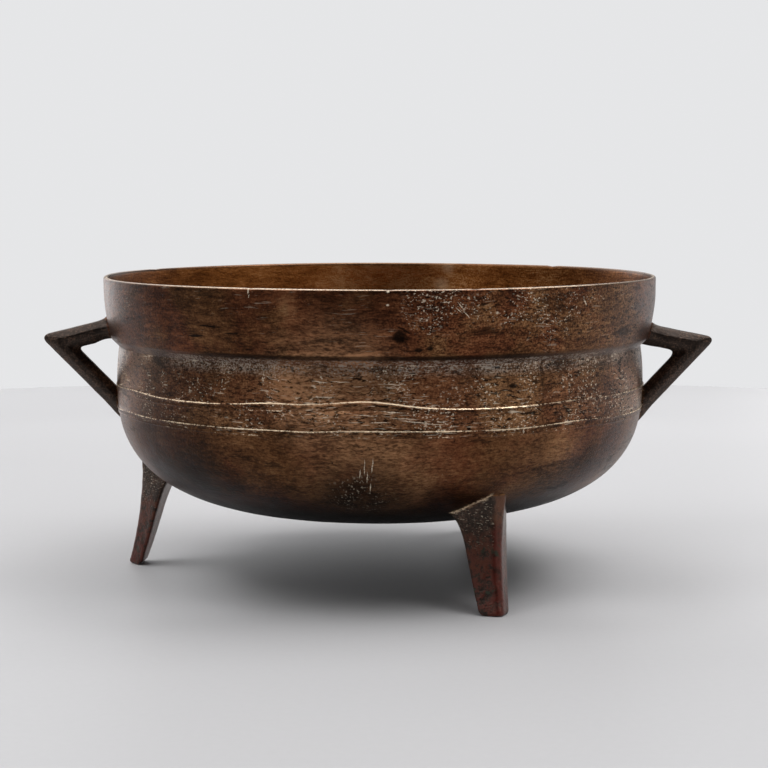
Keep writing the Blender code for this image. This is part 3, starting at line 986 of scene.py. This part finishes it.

# places on the wall that are darker or lighter, redder or more golden than the rest, and on the neck a
# painted highlight:
# azimuth, height, reach, soft edge, how much lighter, how much redder
tonesAndPaintedHighlight = (
    # the neck, from left to right
    (-67, 119.5, 4, 12, 0.8, 0), (-60, 140, 6, 14, -0.35, 0), (-36, 137, 8, 18, 0.2, -1.8),
    # on the next line the entries at -17.5 and -16.8 degrees are a painted highlight, the reflection of the
    # narrow lamp strip
    (-25.5, 124, 4, 10, -0.4, 0.4), (-17.5, 143, 2, 8, 1.6, 0), (-16.8, 135, 2, 8, 1.4, -0.4),
    (-8, 123, 7, 14, -1, 2), (1, 127, 7, 14, -0.5, 2), (2.6, 141, 2, 9, 1.2, 0.6),
    (-13, 133, 3, 10, 0.5, 0.4), (11, 139, 4, 12, -0.5, 1.6), (19, 127, 8, 14, 0.65, 0),
    (48, 128, 12, 22, 0.7, -1.2), (30, 130, 6, 12, 0.8, 0),
    # the band
    (-64, 97, 6, 14, 0.8, 0), (-46, 102, 6, 14, -0.2, 2.2), (-29, 101, 3, 8, 0.6, 0), (-17, 104, 5, 12, 2, 0),
    (-6, 103, 7, 12, 2.6, 2), (9, 104, 6, 12, 1.4, 1.6), (26, 101, 8, 18, 0.3, -1.6), (70, 97, 6, 14, 1.1, 0),
    # the belly
    (-40, 59, 8, 16, -1.2, 0), (-21, 75.5, 6, 14, -0.2, -1.2), (-22, 67.5, 2, 9, 0.8, -0.6),
    (-66, 70, 8, 14, 0.6, 0), (-5, 60, 2, 10, 0.9, 3), (12, 73, 10, 16, 0.6, 0), (39, 70, 4, 12, 0.9, -0.6),
    (-52, 52, 12, 18, -1.3, 1), (-30, 45, 12, 14, -1, 0.9), (44, 52, 12, 18, -1.6, 0.4),
    (21, 68, 4, 12, 0.7, -0.6), (14, 51, 4, 12, -0.8, 0), (55, 66, 6, 12, -0.6, 0),
)


def castBronze():
    mix = Recipe("castBronze")
    where, times, plus, most, less = mix.where, mix.times, mix.plus, mix.most, mix.less
    spread, spot, blend = mix.spread, mix.spot, mix.blend
    limb, inside, crest, paintedRibShadow, lip, seam, level = (
        mix.mark(name) for name in ("limb", "inside", "crest", "paintedRibShadow", "lip", "seam", "level")
    )
    outside = less(inside)
    bowlOnly = times(outside, less(limb))
    across = mix.part(where, 0)
    rim, neckFoot, stepFoot = (1000.0 * height for height in (rimHeight, neckFootHeight, stepFootHeight))

    def rising(low, high):
        # 0 up to one height and 1 from the other on, or the other way round
        return spread(level, low / rim, high / rim)

    def crossways(low, high, toLow=0.0, toHigh=1.0):
        # eases from one value to another between two places across the pot
        return spread(across, 0.001 * low, 0.001 * high, toLow, toHigh)

    def drawn(along, upright, detail, roughness, way=None):
        # noise drawn out along the turning marks
        stretched = mix.vector("MULTIPLY", way or wavy, (along, along, upright))
        return mix.clouds(stretched, 1.0, detail, roughness)

    def centred(value, amount):
        return times(plus(value, -0.5), amount)

    # the turning marks waver a little
    waver = centred(mix.clouds(where, 34.0, 2.0), 0.0060)
    wavy = mix.vector("ADD", where, mix.node("ShaderNodeCombineXYZ", {2: waver}).outputs[0])
    broad = mix.clouds(where, 13.0, 5.0, 0.60, 0.3)
    patches = mix.clouds(mix.moved(0.31, 0.17, 0.05), 62.0, 4.0, 0.65)
    hue = mix.clouds(mix.moved(0.9, 0.4, 0.7), 26.0, 4.0, 0.68)
    streaks = drawn(70.0, 400.0, 4.0, 0.70)
    fine = drawn(420.0, 1300.0, 2.0, 0.6)
    grain = mix.clouds(where, 1150.0, 1.5, 0.6)
    footward = spread(level, 0.275, 0.15)
    # where the surface is scratched and speckled: the band and the ribs, the neck's right, the belly's middle
    bandOnly = times(rising(79, 85), rising(stepFoot + 0.6, stepFoot - 0.1))
    neckOnly = rising(neckFoot - 1, neckFoot + 3)
    busy = most(
        times(bandOnly, crossways(-125, 0, 0.55, 1.15)), times(neckOnly, crossways(-8, 22, 0.0, 0.80)),
        times(spot(-1, 56, 6, 36), 0.24), times(limb, 0.9),
    )
    busy = times(busy, spread(patches, 0.36, 0.60, 0.55, 1.15))
    grit = times(plus(grain, -0.5), plus(0.75, times(busy, 1.6), times(inside, -0.45)))
    tone = plus(
        times(broad, 0.16), times(patches, 0.22), times(streaks, 0.18),
        times(fine, 0.23), times(grit, 0.20), 0.105,
    )
    tone = plus(tone, times(plus(streaks, -0.5), neckOnly, 0.13))
    hue = plus(hue, times(neckOnly, -0.07))
    # lighter or darker, redder or more golden places; two on the neck are a painted highlight
    for azimuth, height, reach, soft, lighter, redder in tonesAndPaintedHighlight:
        near = spot(azimuth, height, reach, soft)
        tone = mix.maths("MULTIPLY_ADD", near, patina["toneStep"] * lighter, tone) if lighter else tone
        hue = mix.maths("MULTIPLY_ADD", near, patina["hueStep"] * redder, hue) if redder else hue
    # brown bronze, reddish on the neck and golden on the belly
    reddish, golden = mix.toned(tone, "red"), mix.toned(tone, "golden")
    colour = blend(spread(hue, 0.38, 0.58), reddish, golden)
    # worn golden where scouring reached
    scoured = times(
        most(
            spot(-9, 105, 12, 30), times(spot(-1, 66, 12, 30), 0.42),
            times(bandOnly, 0.18), times(spot(38, 70, 6, 30), 0.16),
        ),
        less(times(neckOnly, 0.56)),
        spread(plus(times(streaks, 0.5), times(fine, 0.7), times(patches, 0.5)), 0.70, 1.02, 0.20, 1.0),
    )
    colour = blend(times(scoured, patina["goldCover"]), colour, "gold")
    # grey haze and speckle in the corner under the step
    dust = times(
        rising(stepFoot - 6.2, stepFoot - 1.2), rising(stepFoot + 3.1, stepFoot + 2.1),
        crossways(-108, -78, 0.15, 1.0), crossways(128, 85, 0.40, 1.0),
        spread(plus(times(grain, 0.9), times(patches, 0.6), times(fine, 0.5)), 0.92, 1.16, 0.06, 0.95),
        bowlOnly,
    )
    colour = blend(dust, colour, "hazeAndPaintedSheen")
    # soot and painted shade: darker low on the belly, painted shade in the step's corner and a painted shadow
    # under each rib's crest, soot in ragged streaks and fine dark dashes
    ragged = drawn(34.0, 150.0, 6.0, 0.76)
    dark = drawn(300.0, 900.0, 2.0, 0.65)
    # darker low on the belly, towards the base
    darkerLow = spread(plus(rising(57, 34), times(patches, 0.5), times(grain, 0.3)), 0.50, 1.20)
    # painted shade in the step's corner, under the neck's overhanging foot, fading towards both sides
    paintedStepShade = times(
        rising(neckFoot + 1.2, neckFoot + 0.2), rising(stepFoot + 1.8, stepFoot + 2.8),
        crossways(-110, -55, 0.02, 1.0), crossways(105, 50, 0.20, 1.0),
    )
    shade = times(spot(-52, 64, 16, 36), spread(patches, 0.30, 0.60, 0.25, 0.60))
    shade = most(shade, times(spot(-4, 54, 6, 22), spread(patches, 0.34, 0.56, 0.35, 0.90)))
    sootAndPaintedShade = most(
        times(darkerLow, 0.93), times(paintedStepShade, 0.80), shade,
        # the painted shadow under each rib's crest, broken up by noise
        times(paintedRibShadow, spread(plus(dark, times(streaks, 0.5)), 0.60, 0.85, 0.10, 0.95)),
        times(spread(ragged, 0.57, 0.63), spread(grain, 0.30, 0.60, 0.35, 0.75)),
        times(spread(dark, 0.545, 0.63), plus(0.34, times(busy, 0.45))),
    )
    sootAndPaintedShade = times(sootAndPaintedShade, bowlOnly)
    colour = blend(sootAndPaintedShade, colour, "sootAndPaintedShade")
    # the hollow keeps a warm polish, palest high on the far wall, with painted shade deeper down and two soft
    # painted highlights; its edge is duller
    polishAndPaintedShade = plus(tone, times(spot(178, 140, 20, 50), 0.095), times(rising(120, 70), -0.050), -0.014)
    warm = mix.toned(polishAndPaintedShade, "inside")
    # two painted highlights: soft pale streaks high on the far wall, in the rubbed colour
    gleam = most(spot(163.5, 144, 1.2, 4.5), times(spot(165, 134, 1.2, 5.5), 0.9))
    warm = blend(times(gleam, 0.34), warm, "rubbedAndPaintedLight")
    warm = blend(times(rising(144.6, 145.8), 0.75), warm, "lipInside")
    colour = blend(inside, colour, warm)
    # the legs are mottled, and redden towards the feet
    mottle = mix.clouds(where, 330.0, 3.0, 0.7)
    legTone = plus(tone, centred(mottle, 0.55), centred(grain, 0.25))
    sooty = mix.toned(legTone, "limb")
    mottled = plus(mottle, times(patches, 0.3), times(grain, 0.4))
    cuprite = times(footward, spread(mottled, 0.74, 0.92, 0.02, 0.90))
    rust = times(rising(38.5, 30), rising(12, 20), spread(mottle, 0.40, 0.62, 0.0, 0.8))
    reddened = blend(rust, blend(cuprite, sooty, "cuprite"), "rust")
    # the legs' blunt ridges are rubbed tan at the top, and their right faces carry a painted sheen there
    legOnly = times(limb, rising(66, 60))
    facing = mix.part(mix.node("ShaderNodeNewGeometry").outputs["Normal"], 0)
    paintedLegSheen = times(
        legOnly, spread(facing, 0.45, 0.75), rising(33, 40),
        spread(plus(mottle, grain), 0.85, 1.15, 0.10, 0.85),
    )
    reddened = blend(times(paintedLegSheen, 0.45), reddened, "hazeAndPaintedSheen")
    ridge = times(mix.mark("ridge"), spread(mottle, 0.34, 0.56, 0.30, 1.0))
    reddened = blend(ridge, reddened, blend(rising(36, 43), "cuprite", "ridge"))
    colour = blend(limb, colour, reddened)
    # rubbed edges: the ribs' lines thicken, thin and break; the raised line at the front leg's root is
    # painted pale as well, partly a painted highlight on its top
    worn = plus(crest, centred(patches, 0.65), centred(grain, 0.9), centred(fine, 0.6))
    worn = times(spread(worn, 0.50, 0.72), spread(crest, 0.05, 0.30))
    rubbedAndPaintedLight = most(worn, times(seam, spread(grain, 0.38, 0.56, 0.15, 0.9)))
    # a pale line along the lip's crest: worn bronze and, mostly at the front, a painted highlight
    colour = blend(times(lip, spread(grain, 0.30, 0.60, 0.35, 1.0)), colour, "lip")
    colour = blend(rubbedAndPaintedLight, colour, "rubbedAndPaintedLight")
    # lime: specks, flecks, hairlines along the turning marks and upright scratches below
    crooked = mix.crooked(500.0, 0.0008)
    gather = spread(mix.clouds(mix.moved(0.13, 0.6, 0.2), 52.0, 5.0, 0.70), 0.46, 0.60, 0.05, 1.0)
    gather = times(gather, plus(0.20, times(busy, 0.8)))
    # on the neck they keep to its upper part, away from the right end
    neckSpecks = times(rising(119, 133), crossways(112, 98))
    gather = times(gather, less(times(neckOnly, less(neckSpecks), 0.85)))
    gather = most(gather, spot(8.5, 138.5, 4, 12), times(spot(36, 133, 6, 30), gather, 1.6))
    small = times(mix.specks(crooked, 820.0, 0.34, 0.04, 0.24), gather)
    large = times(
        mix.specks(crooked, 320.0, 0.08, 0.03, 0.10),
        spread(gather, 0.0, 0.8, 0.15, 1.0), less(times(neckOnly, 0.7)),
    )
    flecks = times(
        spread(drawn(760.0, 1150.0, 1.5, 0.6), 0.585, 0.68),
        spread(times(gather, plus(0.3, busy)), 0.10, 0.85, 0.0, 0.75),
    )
    hairlines = times(
        spread(drawn(110.0, 1500.0, 2.0, 0.5), 0.625, 0.68),
        spread(plus(patches, times(spot(2, 91, 14, 34), 0.12)), 0.50, 0.60),
        plus(bandOnly, times(neckOnly, 0.25)),
    )
    upright = times(
        spread(drawn(1000.0, 260.0, 1.5, 0.5, where), 0.58, 0.68),
        times(spot(-4, 53, 4, 16), bowlOnly, 0.6), spread(patches, 0.40, 0.54),
    )
    # short level dashes on the legs' left faces
    dashes = times(
        spread(drawn(620.0, 2200.0, 1.5, 0.5, crooked), 0.61, 0.72),
        legOnly, rising(22, 43), spread(facing, 0.10, -0.15), 0.75,
    )
    thin = mix.crooked(420.0, 0.0007)
    limeLines = sootLines = 0.0
    for mark in limeMarks:
        limeLines = most(limeLines, mix.scratch(thin, *mark))
    for mark in sootMarks:
        sootLines = most(sootLines, mix.scratch(crooked, *mark))
    # fewer specks inside and on the limbs, fewest on the handles
    arm = mix.maths("SUBTRACT", limb, legOnly, clamp=True)
    bare = plus(times(inside, 0.75), times(legOnly, 0.45), times(arm, 0.96))
    fewer = mix.maths("SUBTRACT", 1.0, bare, clamp=True)
    lime = most(
        times(hairlines, bowlOnly, 0.75), times(most(upright, dashes), outside, 0.80),
        times(flecks, bowlOnly),
        times(most(small, large), fewer, less(times(rising(80, 70), 0.55))),
        times(limeLines, outside, spread(grain, 0.36, 0.50, 0.35, 1.0)),
    )
    colour = blend(times(lime, patina["limeCover"]), colour, "cream")
    # dark pits, and a little green towards the feet
    pits = times(mix.specks(crooked, 300.0, 0.25, 0.04, 0.15), outside)
    colour = blend(times(most(pits, times(sootLines, outside)), patina["pitCover"]), colour, "sootAndPaintedShade")
    green = times(spread(mix.clouds(mix.moved(0.4, 0.9, 0.1), 170.0, 3.0, 0.6), 0.60, 0.68), limb, footward)
    colour = blend(times(green, patina["greenCover"]), colour, "green")
    dull = most(lime, times(seam, 0.8), times(rubbedAndPaintedLight, 0.25), times(dust, 0.7), times(limb, 0.95))
    rough = plus(
        patina["roughness"] - 0.12, times(patches, 0.12), times(fine, 0.12), times(sootAndPaintedShade, 0.14),
        times(lime, 0.25), times(inside, -0.05), times(limb, -0.04), times(most(rubbedAndPaintedLight, lip), -0.08),
    )
    relief = plus(
        times(patches, 0.00024), times(streaks, 0.00010), times(fine, 0.00006),
        times(grain, 0.00014), times(pits, -0.00020), times(mottle, legOnly, 0.00035),
    )
    bump = mix.node("ShaderNodeBump", {"Strength": 1.0, "Distance": 1.0, "Height": relief})
    mix.fill(mix.shader, {
        "Base Color": colour,
        "Metallic": mix.maths("SUBTRACT", 1.0, times(dull, 0.85), clamp=True),
        "Roughness": rough,
        "Specular Tint": blend(limb, "plain", "gleam"),      # the legs and handles gleam brown
        "Normal": bump.outputs["Normal"],
    })
    return mix.material


pot.data.materials.clear()
pot.data.materials.append(castBronze())
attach(pot, "root")
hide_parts("cooking_pot")
print("the bronze has its finish")


# Studio

studio = {
    "floorRadius": 0.93,
    "floorSides": 128,
    "floorBevel": 0.004,
    "floorThickness": 0.018,
    "floorHeight": -0.0002,
    "floorColour": (0.51, 0.505, 0.512, 1.0),
    "floorRoughness": 0.36,
    "floorGloss": 0.04,
    "backdrop": (0.787, 0.791, 0.803, 1.0),
    "screenRadius": 2.3,
    "screenFoot": -0.7,
    "screenTop": 3.4,
    "screenLight": (0.98, 0.99, 1.0, 1.0),
    "screenChange": (0.5, 1.3),      # between these heights the screen goes over to its upper brightness
    # brightness of the screen round the pot: azimuth, glow at its foot, glow at its top
    "screen": (
        (-180, 0.05, 2.4), (-161, 0.05, 2.4), (-157, 2.5, 1.2), (-146, 2.1, 1.2), (-126, 0.85, 1.4),
        (-100, 0.12, 0.75), (-72, 0.22, 1.10), (-50, 0.45, 0.30), (-34, 0.22, 0.0), (-20, 0.10, 0.0),
        (10, 0.10, 0.0), (24, 0.62, 0.0), (48, 0.72, 0.0), (72, 1.00, 0.0), (98, 0.55, 0.0), (126, 1.05, 0.0),
        (152, 0.75, 0.0), (163, 0.75, 0.0), (167, 0.05, 2.4), (180, 0.05, 2.4),
    ),
}


def floorFinish():
    mix = Recipe("paleFloor")
    times, plus, spread = mix.times, mix.plus, mix.spread
    speckle = mix.clouds(mix.where, 260.0, 3.0, 0.6)
    wide = mix.clouds(mix.where, 3.0, 2.0, 0.5)
    # painted light: the floor is a little paler away from the camera, and to both sides of the pot beside its
    # shadow
    depth = mix.part(mix.where, 1)
    fromMiddle = mix.maths("ABSOLUTE", mix.part(mix.where, 0))
    paintedLightBeside = times(
        spread(fromMiddle, 0.045, 0.110),
        spread(mix.maths("ABSOLUTE", plus(depth, 0.03)), 0.180, 0.040), 0.13,
    )
    # painted light under the pot's sides, which narrows its shadow
    paintedLightBeneath = times(
        spread(fromMiddle, 0.040, 0.075), spread(fromMiddle, 0.150, 0.090),
        spread(mix.maths("ABSOLUTE", plus(depth, 0.055)), 0.085, 0.030), 0.18,
    )
    shade = plus(
        0.92, times(speckle, 0.05), times(wide, 0.07), paintedLightBeside, paintedLightBeneath,
        spread(depth, -0.05, 0.60, 0.0, 0.12), spread(depth, 0.35, 0.85, 0.0, 0.15),
    )
    given = {0: 1.0, 6: studio["floorColour"], 7: shade}
    tinted = mix.node("ShaderNodeMix", given, data_type="RGBA", blend_type="MULTIPLY")
    mix.fill(mix.shader, {
        "Base Color": tinted.outputs[2],
        "Roughness": studio["floorRoughness"],
        "Specular IOR Level": studio["floorGloss"],
    })
    return mix.material


def studioFloor():
    radius, sides, bevel = (studio[name] for name in ("floorRadius", "floorSides", "floorBevel"))
    rings = (
        (0.3, 0.0), (0.62, 0.0), (radius - bevel, 0.0), (radius - 0.3 * bevel, -0.3 * bevel),
        (radius, -bevel), (radius, -studio["floorThickness"]),
    )
    corners = [(0.0, 0.0, 0.0)]
    for wide, height in rings:
        for step in range(sides):
            turn = 2.0 * math.pi * step / sides
            corners.append((wide * math.cos(turn), wide * math.sin(turn), height))
    faces = [(0, 1 + step, 1 + (step + 1) % sides) for step in range(sides)]
    faces += [face[::-1] for face in wallFaces(len(rings), sides, 1)]
    floor = meshPiece("studioFloor", corners, faces)
    floor.location.z = studio["floorHeight"]
    floor.data.shade_smooth()
    floor.data.set_sharp_from_angle(angle=math.radians(30.0))
    floor.data.materials.append(floorFinish())


def studioScreen():
    # a curved screen round the pot, unseen by the camera: dim in front, lighter at the sides
    azimuths = np.linspace(-180.0, 180.0, 241)
    levels = np.linspace(studio["screenFoot"], studio["screenTop"], 13)
    radius = studio["screenRadius"]
    corners = [placed(radius, 0.0, level, azimuth) for level in levels for azimuth in azimuths]
    screen = meshPiece("studioScreen", corners, wallFaces(len(levels), len(azimuths), closed=False))
    stops, foot, top = zip(*studio["screen"])
    upward = eased(levels, *studio["screenChange"])
    glow = np.outer(1.0 - upward, np.interp(azimuths, stops, foot))
    glow += np.outer(upward, np.interp(azimuths, stops, top))
    paint(screen.data, "glow", glow.ravel())
    mix = Recipe("screenGlow")
    light = mix.node("ShaderNodeEmission", {"Color": studio["screenLight"], "Strength": mix.mark("glow")})
    mix.fill(mix.tree.nodes["Material Output"], {"Surface": light.outputs[0]})
    mix.tree.nodes.remove(mix.shader)
    screen.data.materials.append(mix.material)
    screen.visible_camera = False


leftStrip = {
    "place": tuple(placed(1.55, 0.0, 0.62, -40.0)),
    "towards": (0.0, 0.0, 0.09),
    "size": (0.10, 0.6),
    "glow": 2.4,
}

ceiling = {
    # soft boxes side by side overhead, facing down: the glow of each, from the back row to the front one
    "height": 1.65,
    "boxSize": (0.60, 0.50),
    "columns": (-1.2, -0.6, 0.0, 0.6, 1.2),
    "rows": (
        (1.0, (0.0, 0.0, 0.0, 0.0, 2.3)),
        (0.5, (1.2, 0.3, 2.0, 2.5, 6.1)),
        (0.0, (3.4, 1.8, 2.1, 3.3, 6.9)),
        (-0.5, (3.4, 0.8, 0.7, 0.8, 4.7)),
        (-1.0, (3.0, 0.0, 0.0, 0.0, 2.6)),
    ),
}


def hangLamp(name, place, towards, size, glow):
    data = bpy.data.lights.new(name, "AREA")
    data.shape = "RECTANGLE"
    data.size, data.size_y = size
    data.energy = glow * math.pi * data.size * data.size_y
    made = inScene(name, data)
    made.location = place
    facing = Vector(towards) - Vector(place)
    made.rotation_euler = facing.to_track_quat("-Z", "Y").to_euler()
    made.visible_camera = False


def studioLamps():
    hangLamp("leftStrip", **leftStrip)
    for row, (y, glows) in enumerate(ceiling["rows"]):
        for column, (x, glow) in enumerate(zip(ceiling["columns"], glows)):
            if glow:
                place = (x, y, ceiling["height"])
                hangLamp(f"softBox{row}{column}", place, (x, y, 0.0), ceiling["boxSize"], glow)


def studioWorld():
    world = bpy.data.worlds.new("studioWorld")
    world.use_nodes = True
    background = world.node_tree.nodes["Background"]
    background.inputs["Color"].default_value = studio["backdrop"]
    background.inputs["Strength"].default_value = 1.0
    bpy.context.scene.world = world


studioFloor()
studioScreen()
studioLamps()
studioWorld()
bpy.context.scene.view_settings.view_transform = "Standard"
print("the studio is lit")


# Camera

camera = {
    "place": (0.00217, -1.0094, 0.1956),
    "lookDown": 0.1022,
    "roll": 0.001,
    "lens": 96.12,
    "sensor": 36.0,
    "nearest": 0.05,
    "furthest": 20.0,
}


def photoCamera():
    data = bpy.data.cameras.new("photoCamera")
    data.lens = camera["lens"]
    data.sensor_width = camera["sensor"]
    data.clip_start = camera["nearest"]
    data.clip_end = camera["furthest"]
    made = inScene("photoCamera", data)
    made.location = camera["place"]
    made.rotation_euler = (quarterTurn - camera["lookDown"], camera["roll"], 0.0)
    bpy.context.scene.camera = made


photoCamera()

print("done")
